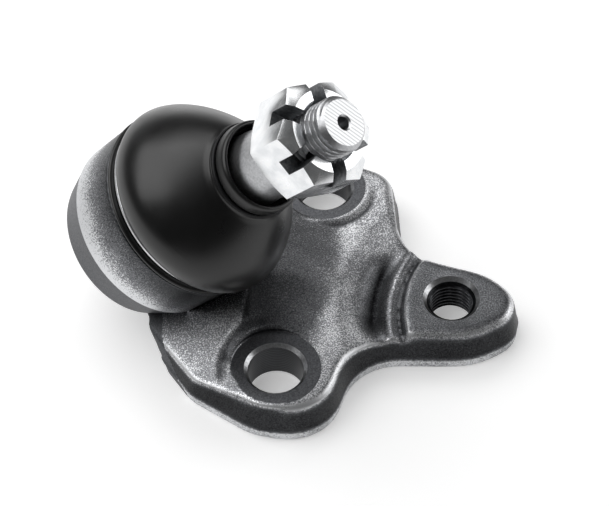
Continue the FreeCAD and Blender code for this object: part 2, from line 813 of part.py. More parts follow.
for obj in doc.Objects:
    if {"Invalid", "Error"} & set(obj.State):
        raise ValueError("%s did not recompute" % obj.Name)
for piece in pieces:
    if piece.Shape.isNull() or not piece.Shape.isValid():
        raise ValueError("%s has a bad shape" % piece.Label)

os.makedirs("parts", exist_ok=True)
for piece in pieces:
    piece.Shape.exportStep("parts/%s.step" % piece.Label)
    print(piece.Label, len(piece.Shape.Solids), round(piece.Shape.Volume / 1000, 2), "cm3")
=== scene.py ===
import bpy
import bmesh
import math
from mathutils import Matrix, Vector
from mathutils.kdtree import KDTree


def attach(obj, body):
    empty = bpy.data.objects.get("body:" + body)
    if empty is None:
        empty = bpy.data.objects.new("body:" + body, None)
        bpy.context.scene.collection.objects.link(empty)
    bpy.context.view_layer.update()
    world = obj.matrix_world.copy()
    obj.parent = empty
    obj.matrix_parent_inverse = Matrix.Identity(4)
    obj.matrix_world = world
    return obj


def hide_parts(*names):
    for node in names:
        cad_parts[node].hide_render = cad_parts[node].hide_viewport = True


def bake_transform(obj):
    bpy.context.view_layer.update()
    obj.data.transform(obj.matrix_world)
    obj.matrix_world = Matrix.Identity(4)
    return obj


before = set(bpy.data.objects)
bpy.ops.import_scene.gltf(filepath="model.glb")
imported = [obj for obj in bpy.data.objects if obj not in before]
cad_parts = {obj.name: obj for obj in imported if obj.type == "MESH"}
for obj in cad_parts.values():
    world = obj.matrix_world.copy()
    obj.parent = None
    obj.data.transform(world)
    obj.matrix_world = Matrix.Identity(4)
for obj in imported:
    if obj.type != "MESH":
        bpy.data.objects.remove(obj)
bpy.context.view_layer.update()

mm = 0.001

# Where things stand, from the model's own frame: lengths in mm, angles in degrees
joint = {"ballCentre": (-32, 0, 29.1), "cupTilt": 41, "studTilt": 39.25, "studSwing": 8.78}
ballCentre = Vector(joint["ballCentre"]) * mm
cupTurn = Matrix.Rotation(math.radians(joint["cupTilt"]), 4, "Y")
studTurn = (Matrix.Rotation(math.radians(joint["studTilt"]), 4, "Y")
            @ Matrix.Rotation(math.radians(joint["studSwing"]), 4, "X"))
cupAxis = (cupTurn.to_3x3() @ Vector((0, 0, 1))).normalized()
studAxis = (studTurn.to_3x3() @ Vector((0, 0, 1))).normalized()
alongStud = Matrix.Translation(ballCentre) @ studTurn
alongCup = Matrix.Translation(ballCentre) @ cupTurn


# Mesh helpers
def linkObject(name, data):
    obj = bpy.data.objects.new(name, data)
    bpy.context.scene.collection.objects.link(obj)
    return obj


def meshObject(name, points, faces):
    mesh = bpy.data.meshes.new(name)
    mesh.from_pydata(points, [], faces)
    mesh.update()
    return linkObject(name, mesh)


def tidyNormals(obj):
    bm = bmesh.new()
    bm.from_mesh(obj.data)
    bmesh.ops.remove_doubles(bm, verts=bm.verts, dist=1e-7)
    bmesh.ops.recalc_face_normals(bm, faces=bm.faces)
    bm.to_mesh(obj.data)
    bm.free()


# closed solid turned about Z; the profile is (radius, height) in mm from the lowest point up
def latheObject(name, profile, segments, matrix=None):
    points, faces, rows = [], [], []
    for radius, height in profile:
        first = len(points)
        if radius == 0:
            points.append(Vector((0, 0, height)) * mm)
            rows.append([first])
            continue
        for step in range(segments):
            angle = 2 * math.pi * step / segments
            points.append(Vector((radius * math.cos(angle), radius * math.sin(angle), height)) * mm)
        rows.append(list(range(first, first + segments)))
    for low, high in zip(rows, rows[1:]):
        for step in range(segments):
            after = (step + 1) % segments
            if len(low) == 1:
                faces.append((low[0], high[after], high[step]))
            elif len(high) == 1:
                faces.append((low[step], low[after], high[0]))
            else:
                faces.append((low[step], low[after], high[after], high[step]))
    obj = meshObject(name, points, faces)
    if matrix:
        obj.data.transform(matrix)
    tidyNormals(obj)
    return obj


def rodObject(name, radius, low, high, segments, matrix=None):
    return latheObject(name, [(0, low), (radius, low), (radius, high), (0, high)], segments, matrix)


# a tap's profile: straight bore, countersunk at both ends, in steps fine enough for the thread
def tapProfile(bore, mouth, height, steps, base=0):
    rows = [(0, base - 1)]
    for step in range(steps + 1):
        z = -1 + (height + 2) * step / steps
        rows.append((max(bore, mouth - z, mouth - (height - z)), z + base))
    rows.append((0, base + height + 1))
    return rows


def standAt(x, y):
    return Matrix.Translation(Vector((x, y, 0)) * mm)


# the evaluated mesh takes the place of the stack
def bakeModifiers(obj):
    graph = bpy.context.evaluated_depsgraph_get()
    mesh = bpy.data.meshes.new_from_object(obj.evaluated_get(graph))
    obj.modifiers.clear()
    obj.data = mesh
    return obj


def booleanWith(obj, other, operation):
    modifier = obj.modifiers.new("Boolean", "BOOLEAN")
    modifier.operation = operation
    modifier.solver = "MANIFOLD"
    modifier.object = other
    bakeModifiers(obj)
    bpy.data.objects.remove(other)
    return obj


def addRemesh(obj, voxelMm):
    modifier = obj.modifiers.new("Remesh", "REMESH")
    modifier.mode = "VOXEL"
    modifier.voxel_size = voxelMm * mm


def addSmooth(obj, steps):
    modifier = obj.modifiers.new("Smooth", "SMOOTH")
    modifier.factor = 0.5
    modifier.iterations = steps


# the inputs of a Geometry Nodes modifier, by their names
def setGroupInputs(modifier, values):
    for item in modifier.node_group.interface.items_tree:
        if item.in_out == "INPUT" and item.name in values:
            modifier[item.identifier] = values[item.name]


def smoothByAngle(obj, degrees):
    obj.data.shade_smooth()
    obj.data.set_sharp_from_angle(angle=math.radians(degrees))


def setMaterials(obj, *materials):
    obj.data.materials.clear()
    for material in materials:
        obj.data.materials.append(material)


# 0 up to the low end, 1 from the high end, and a soft step between
def easeBetween(value, low, high):
    share = min(max((value - low) / (high - low), 0), 1)
    return share * share * (3 - 2 * share)


# a soft groove: 1 at its middle, next to nothing at twice its width
def grooveAt(distance, middle, width):
    return math.exp(-((distance - middle) / width) ** 2)


# Material helpers
def hexColour(code):
    values = [int(code[i:i + 2], 16) / 255 for i in (0, 2, 4)]
    linear = [v / 12.92 if v <= 0.04045 else ((v + 0.055) / 1.055) ** 2.4 for v in values]
    return (*linear, 1)


# A value may be a number, a socket, or a node, whose first output is then used.
# Stops are a colour ramp's places, each with a hex colour or a grey.
def addNode(tree, kind, inputs=None, stops=(), **settings):
    node = tree.nodes.new(kind)
    for name, value in settings.items():
        setattr(node, name, value)
    for name, value in (inputs or {}).items():
        source = value.outputs[0] if isinstance(value, bpy.types.Node) else value
        if isinstance(source, bpy.types.NodeSocket):
            tree.links.new(source, node.inputs[name])
        else:
            node.inputs[name].default_value = source
    for spare in stops[2:]:
        node.color_ramp.elements.new(0.5)
    for number, (place, colour) in enumerate(stops):
        element = node.color_ramp.elements[number]
        element.position = place
        element.color = hexColour(colour) if isinstance(colour, str) else (colour, colour, colour, 1)
    return node


def newMaterial(name, **shader):
    material = bpy.data.materials.new(name)
    material.use_nodes = True
    tree = material.node_tree
    principled = tree.nodes["Principled BSDF"]
    for socket, value in shader.items():
        principled.inputs[socket].default_value = value
    where = addNode(tree, "ShaderNodeTexCoord").outputs["Object"]
    return material, tree, principled, where


def linkShader(tree, shader, inputs):
    for name, node in inputs.items():
        tree.links.new(node.outputs[0], shader.inputs[name])


# a noise has about one grain in each unit of its scale
def noiseScale(sizeMm):
    return 1000 / sizeMm


# a band texture repeats every 2 pi / 20 of its scale
def waveScale(sizeMm):
    return 2 * math.pi / 20 * 1000 / sizeMm


# A plain finish: one noise gives its colour and, if asked, its bump, as (strength, depth in mm).
# Real grit, plating and tool marks are finer than the render shows, so their grain is drawn as
# coarse as it needs to show, 0.4 mm and up.
def grainedMaterial(name, grainMm, colours, detail=3.0, bump=None, **sockets):
    material, tree, shader, where = newMaterial(name, **sockets)
    grain = addNode(tree, "ShaderNodeTexNoise", {
        "Vector": where, "Scale": noiseScale(grainMm), "Detail": detail, "Roughness": 0.55})
    linkShader(tree, shader, {"Base Color": addNode(tree, "ShaderNodeValToRGB", {"Fac": grain}, colours)})
    if bump:
        strength, depthMm = bump
        linkShader(tree, shader, {"Normal": addNode(tree, "ShaderNodeBump", {
            "Strength": strength, "Distance": depthMm * mm, "Height": grain})})
    return material


# Forged steel, shot-blasted: dark scale on the walls, worn bright along the edges, with painted light and
# shade laid over both.
# A per-point attribute, low on the walls' scale and 1 on a bare edge, sets the colour: it paints shade on
# the walls and in hollows and light on tops and edges; the grain, about the size of the pits that blasting
# leaves, breaks it up.
forging = {"grainMm": 0.34, "patchMm": 11, "bumpMm": 0.04, "bump": 0.6,
           "grainShare": 0.7, "grainBase": 0.15, "wearAndLightShare": 0.5, "patchShare": 0.2,
           "colours": ((0.4, "131315"), (0.74, "4a4b4d"), (0.95, "8c8d90"), (1.0, "dcdddf")),
           "roughness": ((0.3, 0.5), (0.7, 0.36))}
forgedSteel, tree, shader, where = newMaterial("forged steel, shot-blasted, painted light and shade", Metallic=1.0)
grain = addNode(tree, "ShaderNodeTexNoise", {
    "Vector": where, "Scale": noiseScale(forging["grainMm"]), "Detail": 3.0, "Roughness": 0.65})
patches = addNode(tree, "ShaderNodeTexNoise", {
    "Vector": where, "Scale": noiseScale(forging["patchMm"]), "Detail": 3.0, "Roughness": 0.55})
wear_and_painted_light = addNode(tree, "ShaderNodeAttribute", attribute_name="wear_and_painted_light").outputs["Fac"]
mixed = addNode(tree, "ShaderNodeMath", {0: grain, 1: forging["grainShare"], 2: forging["grainBase"]},
                operation="MULTIPLY_ADD")
mixed = addNode(tree, "ShaderNodeMath", {0: wear_and_painted_light, 1: forging["wearAndLightShare"], 2: mixed},
                operation="MULTIPLY_ADD")
mixed = addNode(tree, "ShaderNodeMath", {0: patches, 1: forging["patchShare"], 2: mixed},
                operation="MULTIPLY_ADD")
linkShader(tree, shader, {
    "Base Color": addNode(tree, "ShaderNodeValToRGB", {"Fac": mixed}, forging["colours"]),
    "Roughness": addNode(tree, "ShaderNodeValToRGB", {"Fac": grain}, forging["roughness"]),
    "Normal": addNode(tree, "ShaderNodeBump", {
        "Strength": forging["bump"], "Distance": forging["bumpMm"] * mm, "Height": grain})})

# The same steel where a cutter has been: smoother, mid grey, faint grain
machinedSteel = grainedMaterial("forged steel, milled", 0.4, ((0.3, "48494c"), (0.7, "696a6d")),
                                bump=(0.25, 0.02), Metallic=1.0, Roughness=0.5)

# Chamfers: bright fresh steel
chamferSteel = grainedMaterial("forged steel, chamfered", 0.6, ((0.3, "9a9b9d"), (0.7, "c6c7c9")),
                               Metallic=1.0, Roughness=0.3)

# Drilled walls: dark, with faint turning lines, drawn wider apart than a drill's so that they show
drilledSteel, tree, shader, where = newMaterial("forged steel, drilled", Metallic=1.0, Roughness=0.38)
lines = addNode(tree, "ShaderNodeTexWave", {
    "Vector": where, "Scale": waveScale(0.7), "Distortion": 2.0, "Detail": 2.0},
    wave_type="BANDS", bands_direction="Z").outputs["Fac"]
linkShader(tree, shader, {
    "Base Color": addNode(tree, "ShaderNodeValToRGB", {"Fac": lines}, ((0.2, "38393b"), (0.8, "4b4c4e")))})

# Tapped thread: oiled steel, fairly smooth, and painted dark as shade in the thread's roots
tappedSteel = grainedMaterial("forged steel, tapped", 0.8, ((0.3, "1e1e20"), (0.7, "303133")),
                              Metallic=1.0, Roughness=0.3)

# Nitrile boot rubber, moulded: nearly black, soft broad sheen, faint cloud of dust
bootRubber, tree, shader, where = newMaterial("nitrile rubber, moulded", IOR=1.5)
cloud = addNode(tree, "ShaderNodeTexNoise", {
    "Vector": where, "Scale": noiseScale(16), "Detail": 4.0, "Roughness": 0.55})
skin = addNode(tree, "ShaderNodeTexNoise", {
    "Vector": where, "Scale": noiseScale(0.6), "Detail": 3.0, "Roughness": 0.55})
linkShader(tree, shader, {
    "Base Color": addNode(tree, "ShaderNodeValToRGB", {"Fac": cloud}, ((0.4, "030303"), (0.7, "0b0b0c"))),
    "Roughness": addNode(tree, "ShaderNodeValToRGB", {"Fac": cloud}, ((0.35, 0.27), (0.65, 0.38))),
    "Normal": addNode(tree, "ShaderNodeBump", {"Strength": 0.15, "Distance": 0.02 * mm, "Height": skin})})

# Zinc-plated steel: pale and slightly blotched
zincPlate, tree, shader, where = newMaterial("steel, zinc-plated", Metallic=1.0)
blotch = addNode(tree, "ShaderNodeTexNoise", {
    "Vector": where, "Scale": noiseScale(3.5), "Detail": 4.0, "Roughness": 0.55})
linkShader(tree, shader, {
    "Base Color": addNode(tree, "ShaderNodeValToRGB", {"Fac": blotch}, ((0.35, "dcdee0"), (0.65, "f3f4f5"))),
    "Roughness": addNode(tree, "ShaderNodeValToRGB", {"Fac": blotch}, ((0.3, 0.2), (0.7, 0.28)))})

# Slot walls of the nut, left as sawn under thin plating, and painted darker than the plating as shade in the
# slots
sawnPlateInSlotShade = grainedMaterial("steel, sawn and thinly plated, painted slot shade", 0.7, ((0.3, "75777a"), (0.7, "a5a7a9")),
                            detail=4.0, bump=(0.2, 0.03), Metallic=1.0, Roughness=0.42)

# Ground stud steel: satin grey
groundSteel = grainedMaterial("alloy steel, ground", 0.6, ((0.3, "a6a7a9"), (0.7, "c2c3c5")),
                              Metallic=1.0, Roughness=0.34)

# Sawn end of the stud: straight lines across it, as far apart as they look in the photo
sawnSteel, tree, shader, where = newMaterial("alloy steel, sawn", Metallic=1.0, Roughness=0.4)
lines = addNode(tree, "ShaderNodeTexWave", {
    "Vector": where, "Scale": waveScale(0.85), "Distortion": 1.0, "Detail": 1.0},
    wave_type="BANDS", bands_direction="Y").outputs["Fac"]
linkShader(tree, shader, {
    "Base Color": addNode(tree, "ShaderNodeValToRGB", {"Fac": lines}, ((0.1, "b0b1b3"), (0.35, "d9dadb"))),
    "Normal": addNode(tree, "ShaderNodeBump", {"Strength": 0.15, "Distance": 0.02 * mm, "Height": lines})})

# Bright drawn wire
drawnWire = grainedMaterial("spring wire, drawn", 1.0, ((0.3, "c3c4c6"), (0.7, "e0e1e2")),
                            Metallic=1.0, Roughness=0.32)

# Natural acetal, moulded: milky white with a soft shine
acetal = grainedMaterial("acetal, moulded", 5, ((0.3, "dedbd2"), (0.7, "ebe8e0")), Roughness=0.4, IOR=1.48)

# Oxide-blacked wire: dark, half metallic through the oxide
blackWire = grainedMaterial("spring wire, blacked", 1.0, ((0.3, "101011"), (0.7, "1c1c1e")),
                            Metallic=0.6, Roughness=0.45)
print("materials made")


# One thread tree for the stud, the nut and the tapped hole. It moves each point of a turned
# surface in or out to a helix about Z, and leaves what already lies beyond the thread.
def threadTree():
    group = bpy.data.node_groups.new("threadRelief", "GeometryNodeTree")
    face = group.interface
    face.new_socket("Geometry", in_out="INPUT", socket_type="NodeSocketGeometry")
    for name in ("Pitch", "Depth", "Crest Radius", "Start", "End", "Cuts Outward"):
        face.new_socket(name, in_out="INPUT", socket_type="NodeSocketFloat")
    face.new_socket("Material", in_out="INPUT", socket_type="NodeSocketMaterial")
    face.new_socket("Geometry", in_out="OUTPUT", socket_type="NodeSocketGeometry")
    given = addNode(group, "NodeGroupInput").outputs
    position = addNode(group, "GeometryNodeInputPosition")
    x, y, z = addNode(group, "ShaderNodeSeparateXYZ", {0: position}).outputs
    # distance from the axis, and how far each point is through its turn of the helix
    xSquare = addNode(group, "ShaderNodeMath", {0: x, 1: 2.0}, operation="POWER")
    ySquare = addNode(group, "ShaderNodeMath", {0: y, 1: 2.0}, operation="POWER")
    square = addNode(group, "ShaderNodeMath", {0: xSquare, 1: ySquare}, operation="ADD")
    across = addNode(group, "ShaderNodeMath", {0: square}, operation="SQRT")
    angle = addNode(group, "ShaderNodeMath", {0: y, 1: x}, operation="ARCTAN2")
    turns = addNode(group, "ShaderNodeMath", {0: angle, 1: 2 * math.pi}, operation="DIVIDE")
    rises = addNode(group, "ShaderNodeMath", {0: z, 1: given["Pitch"]}, operation="DIVIDE")
    wound = addNode(group, "ShaderNodeMath", {0: rises, 1: turns}, operation="SUBTRACT")
    phase = addNode(group, "ShaderNodeMath", {0: wound}, operation="FRACT")
    doubled = addNode(group, "ShaderNodeMath", {0: phase, 1: 2.0}, operation="MULTIPLY")
    centred = addNode(group, "ShaderNodeMath", {0: doubled, 1: 1.0}, operation="SUBTRACT")
    saw = addNode(group, "ShaderNodeMath", {0: centred}, operation="ABSOLUTE")
    # flat crest and flat root, slanted flanks between
    ridge = addNode(group, "ShaderNodeMapRange", {"Value": saw, "From Min": 0.12, "From Max": 0.84},
                    interpolation_type="SMOOTHSTEP")
    deep = addNode(group, "ShaderNodeMath", {0: ridge, 1: given["Depth"]}, operation="MULTIPLY")
    threaded = addNode(group, "ShaderNodeMath", {0: given["Crest Radius"], 1: deep}, operation="SUBTRACT")
    inner = addNode(group, "ShaderNodeMath", {0: across, 1: threaded}, operation="MINIMUM")
    outer = addNode(group, "ShaderNodeMath", {0: across, 1: threaded}, operation="MAXIMUM")
    wanted = addNode(group, "ShaderNodeMix", {0: given["Cuts Outward"], 2: inner, 3: outer},
                     data_type="FLOAT")
    # the points between start and end, without those within a millimetre of the axis
    above = addNode(group, "ShaderNodeMath", {0: z, 1: given["Start"]}, operation="GREATER_THAN")
    below = addNode(group, "ShaderNodeMath", {0: z, 1: given["End"]}, operation="LESS_THAN")
    offAxis = addNode(group, "ShaderNodeMath", {0: across, 1: mm}, operation="GREATER_THAN")
    between = addNode(group, "ShaderNodeMath", {0: above, 1: below}, operation="MULTIPLY")
    inside = addNode(group, "ShaderNodeMath", {0: between, 1: offAxis}, operation="MULTIPLY")
    divisor = addNode(group, "ShaderNodeMath", {0: across, 1: 1e-6}, operation="MAXIMUM")
    ratio = addNode(group, "ShaderNodeMath", {0: wanted, 1: divisor}, operation="DIVIDE")
    newX = addNode(group, "ShaderNodeMath", {0: x, 1: ratio}, operation="MULTIPLY")
    newY = addNode(group, "ShaderNodeMath", {0: y, 1: ratio}, operation="MULTIPLY")
    moved = addNode(group, "ShaderNodeCombineXYZ", {0: newX, 1: newY, 2: z})
    shifted = addNode(group, "GeometryNodeSetPosition", {
        "Geometry": given["Geometry"], "Selection": inside, "Position": moved})
    real = addNode(group, "GeometryNodeRealizeInstances", {0: shifted})
    coated = addNode(group, "GeometryNodeSetMaterial", {"Geometry": real, "Material": given["Material"]})
    addNode(group, "NodeGroupOutput", {0: coated})
    return group


threadRelief = threadTree()


def cutThread(obj, material, pitch, depth, crest, start, end, outward):
    modifier = obj.modifiers.new("Thread", "NODES")
    modifier.node_group = threadRelief
    setGroupInputs(modifier, {
        "Pitch": pitch * mm, "Depth": depth * mm, "Crest Radius": crest * mm, "Start": start * mm,
        "End": end * mm, "Cuts Outward": float(outward), "Material": material})
    return bakeModifiers(obj)


# Housing: the CAD forging softened, then machined again with crisp cutters. Lengths are in mm;
# pairs are the two ends of a soft step, and profiles are (radius, height) about the cup's axis.
housing = {
    "voxel": 0.6, "softSteps": 20, "footDown": -4, "faceHeight": 11.6, "skim": 0.12,
    "holeAt": 30, "holeRadius": 7.0, "chamfer": 0.9, "frontSpot": 11.4, "backSpot": 10.9,
    "threadAt": 38.9, "threadMajor": 6.0, "threadDepth": 0.67, "threadPitch": 1.25, "threadMouth": 7.2,
    "wing": (8.9, 0.31, 0.26), "wingFrom": (-24.7, -27), "cutterTop": 60,
    "wingCorners": ((-37, -60), (0, -60), (0, -5), (-37, -5)),
    "stepCentre": (0.5, 30), "stepDown": 0.85, "stepEdge": (11.1, 13.1), "stepEnd": (14, 27),
    "stepFront": (-6, 6),
    "padCentre": 59.4, "padArc": 32, "trough": (8.0, 2.6, 1.7), "troughMiddle": -1.5,
    "troughEnd": (6, 15),
    "groove": (13.4, 1.2, 0.7), "grooveLeft": (2, 7), "grooveFront": (-38, -32),
    "parting": 2.6, "flashBand": 0.3, "flash": 0.3, "flashLimit": (56.05, 43.45), "clearOfCup": 24.5,
    "cupPlug": (18, -17.9, 8.6), "cupSkin": 0.8, "cupIn": 0.35,
    "cupWall": ((-18.8, 19.4), (-18.1, 20.4), (-9.2, 23.5), (4.0, 24.1), (4.6, 23.5)),
    "cupProfile": [
        (0, -18.8), (19.0, -18.8), (19.7, -18.62), (20.2, -18.15), (20.5, -17.5), (23.35, -9.5),
        (23.55, -9.25), (23.55, -9.0), (24.1, 3.9), (24.05, 4.3), (23.8, 4.55), (23.4, 4.6),
        (20.6, 4.6), (20.6, 8.5), (20.1, 9.0), (0, 9.0)],
    "boreProfile": [
        (0, -20), (16.7, -20), (16.7, -18), (17.6, -18), (17.6, -15.8), (16.2, -15.8),
        (16.2, 7.0), (12.9, 7.0), (13.2, 10), (0, 10)],
    "cupCorner": -9.2, "cupRoll": -15, "rimHeights": (4.05, 4.7), "rimRadii": (23, 24.3),
    "side": (-9.6, 24.6), "sideLighter": (16, 40), "beltAt": -9.1, "beltHalf": 0.25}
milledTop = housing["faceHeight"] - housing["skim"]


# height of the wing's top, which falls away from the web to a low flank: a height at one point,
# and its rise along X and along Y
def wingPlane(x, y):
    start, alongX, alongY = housing["wing"]
    fromX, fromY = housing["wingFrom"]
    return start + alongX * (x - fromX) + alongY * (y - fromY)


def wingCutter():
    corners = housing["wingCorners"]
    points = [Vector((x, y, wingPlane(x, y))) * mm for x, y in corners]
    points += [Vector((x, y, housing["cutterTop"])) * mm for x, y in corners]
    faces = [(3, 2, 1, 0), (4, 5, 6, 7)] + [(i, (i + 1) % 4, (i + 1) % 4 + 4, i + 4) for i in range(4)]
    return meshObject("wingCutter", points, faces)


# the CAD housing with its holes and its cup filled, the wing cut to its slope, all edges softened
def forgedBlank():
    h = housing
    blank = linkObject("forgedBlank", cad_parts["housing"].data.copy())
    bm = bmesh.new()
    bm.from_mesh(blank.data)
    bmesh.ops.remove_doubles(bm, verts=bm.verts, dist=1e-6)
    # the foot is drawn down so that the underside can be faced off flat afterwards
    for vert in bm.verts:
        if vert.co.z < 0.05 * mm:
            vert.co.z = h["footDown"] * mm
    bm.to_mesh(blank.data)
    bm.free()
    holes = ((0, -h["holeAt"], h["holeRadius"] + 1), (0, h["holeAt"], h["holeRadius"] + 1),
             (h["threadAt"], 0, h["threadMouth"] + 0.1))
    plugs = [rodObject("plug", radius, h["footDown"], h["faceHeight"], 64, standAt(x, y))
             for x, y, radius in holes]
    plugs.append(rodObject("plug", *h["cupPlug"], 64, alongCup))
    with bpy.context.temp_override(active_object=blank, object=blank,
                                   selected_editable_objects=[blank] + plugs):
        bpy.ops.object.join()
    addRemesh(blank, h["voxel"])
    bakeModifiers(blank)
    booleanWith(blank, wingCutter(), "DIFFERENCE")
    addRemesh(blank, h["voxel"])
    addSmooth(blank, h["softSteps"])
    return bakeModifiers(blank)


# outside radius of the cup at a distance from the ball centre, in mm
def cupRadius(along):
    knots = housing["cupWall"]
    for (a, ra), (b, rb) in zip(knots, knots[1:]):
        if a <= along <= b:
            return ra + (rb - ra) * (along - a) / (b - a)
    return None


def alongAndAcross(point):
    offset = (point - ballCentre) / mm
    along = offset.dot(cupAxis)
    return along, offset - cupAxis * along


# depth of the soft trough that runs round the end of the web beside the pad
def troughDepth(x, y):
    fromPad = math.hypot(x - housing["padCentre"], y) - housing["padArc"]
    place, width, deep = housing["trough"]
    fade = 1 - easeBetween(abs(y - housing["troughMiddle"]), *housing["troughEnd"])
    return deep * grooveAt(fromPad, place, width) * fade


# What the die and the trimming leave: the trough, the step round the back boss, the groove beside
# the front one, and the trimmed flash. The cup's skin is drawn in, so that the turned cup covers it.
def shapeBlank(blank):
    h = housing
    normals = [vert.normal.copy() for vert in blank.data.vertices]
    for vert, normal in zip(blank.data.vertices, normals):
        along, across = alongAndAcross(vert.co)
        wall = cupRadius(along)
        onCup = wall and abs(across.length - wall) < h["cupSkin"]
        if onCup and normal.dot(across.normalized()) > 0.8:
            vert.co -= across.normalized() * h["cupIn"] * mm
            continue
        x, y, z = vert.co / mm
        stepX, stepY = h["stepCentre"]
        toBoss = math.hypot(x - stepX, y - stepY)
        drop = h["stepDown"] * easeBetween(toBoss, *h["stepEdge"]) * (1 - easeBetween(toBoss, *h["stepEnd"]))
        drop *= easeBetween(stepY - y, *h["stepFront"])
        drop += troughDepth(x, y)
        toFront = math.hypot(x, y + h["holeAt"])
        beside = easeBetween(-x, *h["grooveLeft"]) * easeBetween(y, *h["grooveFront"])
        place, width, deep = h["groove"]
        drop += deep * beside * grooveAt(toFront, place, width)
        vert.co.z -= drop * easeBetween(normal.z, 0.4, 0.7) * easeBetween(z, 6, 8) * mm
        onBand = abs(z - h["parting"]) < h["flashBand"] and abs(normal.z) < 0.5
        if onBand and across.length > h["clearOfCup"]:
            limitX, limitY = h["flashLimit"]
            vert.co.z = h["parting"] * mm
            vert.co += Vector((normal.x, normal.y, 0)).normalized() * h["flash"] * mm
            vert.co.y = max(min(vert.co.y, limitY * mm), -limitY * mm)
            vert.co.x = min(vert.co.x, limitX * mm)


# How much each term adds to the colour or takes from it: upward faces get painted light and walls painted
# shade over their darker scale, edges a painted highlight over worn steel, hollows painted shade with their
# scale, the trough and the tops beside the cup, under the boot, painted shade, the web and the wing's slope
# painted light, the trimmed band bare sheared steel with a painted reflection, and the pad's flat top less
# painted light. Each has the pair of ends of its soft step: slopes are a normal's height, bends are mm that
# a smoothing moves a point
wearAndLightTerms = {"smoothSteps": 30, "base": -0.2, "top": 0.75, "topSlope": (0.12, 0.55),
        "edge": 0.35, "edgeBend": (0.04, 0.2), "lessOnTop": 0.85, "nearlyFlat": (0.8, 0.95),
        "hollow": 0.35, "hollowBend": (0.05, 0.25), "trough": 0.45,
        "wing": 0.1, "wingBand": (0.4, 1.0), "wingEnd": (-11, -9), "wingSlope": (0.5, 0.8),
        "nearCup": 0.35, "cupEnd": (-16, 14), "cupMiddle": -12, "cupHalf": 12, "cupFade": (0, 6),
        "pad": 0.2, "padStart": (26, 29), "padFlat": (0.95, 0.99),
        "web": 0.15, "webStart": (4, 10), "webEnd": (20, 26),
        "trimmed": 0.8, "trimmedTop": 2.75, "least": -0.35, "most": 1.1}


# how bright each part of the blank is painted, over its worn edges and darker scale: from its curvature, its
# slope and the trimmed band
def wearAndLightValues(blank):
    w = wearAndLightTerms
    soft = linkObject("softCopy", blank.data.copy())
    addSmooth(soft, w["smoothSteps"])
    bakeModifiers(soft)
    tree = KDTree(len(blank.data.vertices))
    values = []
    for vert, other in zip(blank.data.vertices, soft.data.vertices):
        bend = -(other.co - vert.co).dot(vert.normal) / mm
        slope = vert.normal.z
        x, y, z = vert.co / mm
        onEdge = easeBetween(bend, *w["edgeBend"])
        onEdge *= 1 - w["lessOnTop"] * easeBetween(slope, *w["nearlyFlat"])
        inHollow = easeBetween(-bend, *w["hollowBend"])
        # painted light on upward faces, painted shade on the walls over their darker scale
        value = w["top"] * easeBetween(slope, *w["topSlope"]) + w["base"]
        # painted highlight on convex edges, over worn steel
        value += w["edge"] * onEdge
        # painted shade in hollows, with their scale, and painted shade in the trough
        value -= w["hollow"] * inHollow + w["trough"] * troughDepth(x, y)
        wingX, wingY = w["wingEnd"]
        onWing = 0
        if x < wingX and y < wingY:
            onWing = 1 - easeBetween(abs(z - wingPlane(x, y)), *w["wingBand"])
        # painted light on the wing's slope
        value += w["wing"] * onWing * easeBetween(slope, *w["wingSlope"])
        if slope > 0.5:
            # painted shade on the tops beside the cup, under the boot
            nearCup = 1 - easeBetween(x, *w["cupEnd"])
            nearCup *= easeBetween(w["cupHalf"] - abs(y - w["cupMiddle"]), *w["cupFade"])
            value -= w["nearCup"] * nearCup * (1 - onWing)
            # less painted light on the pad's flat top
            value -= w["pad"] * easeBetween(x, *w["padStart"]) * easeBetween(slope, *w["padFlat"])
            # painted light on the web
            value += w["web"] * easeBetween(x, *w["webStart"]) * (1 - easeBetween(x, *w["webEnd"]))
        # the trimmed band: bare sheared steel with a painted reflection
        if z < w["trimmedTop"] and slope < 0.5:
            value = w["trimmed"]
        tree.insert(vert.co, vert.index)
        values.append(min(max(value, w["least"]), w["most"]))
    tree.balance()
    bpy.data.objects.remove(soft)
    return tree, values


def housingShape():
    h = housing
    blank = forgedBlank()
    shapeBlank(blank)
    blank.data.update()
    wearAndLight = wearAndLightValues(blank)
    booleanWith(blank, latheObject("turnedCup", h["cupProfile"], 256, alongCup), "UNION")
    booleanWith(blank, latheObject("cupBore", h["boreProfile"], 128, alongCup), "DIFFERENCE")
    booleanWith(blank, rodObject("faceOff", 120, -9, 0, 64), "DIFFERENCE")
    wide = h["holeRadius"] + h["chamfer"]
    for side, spot in ((-1, h["frontSpot"]), (1, h["backSpot"])):
        drill = latheObject("drill", [
            (0, -1), (wide + 1, -1), (h["holeRadius"], h["chamfer"]),
            (h["holeRadius"], milledTop - h["chamfer"]), (wide, milledTop), (spot - 0.15, milledTop),
            (spot + 0.1, milledTop + 0.25), (spot + 1.2, milledTop + 9), (0, milledTop + 9)],
            160, standAt(0, side * h["holeAt"]))
        booleanWith(blank, drill, "DIFFERENCE")
    minor = h["threadMajor"] - h["threadDepth"]
    tap = latheObject("tap", tapProfile(minor, h["threadMouth"], h["faceHeight"], 130), 128)
    cutThread(tap, tappedSteel, h["threadPitch"], h["threadDepth"], h["threadMajor"], 0.2,
              h["faceHeight"] - 0.2, True)
    tap.data.transform(standAt(h["threadAt"], 0))
    tidyNormals(tap)
    booleanWith(blank, tap, "DIFFERENCE")
    return blank, wearAndLight


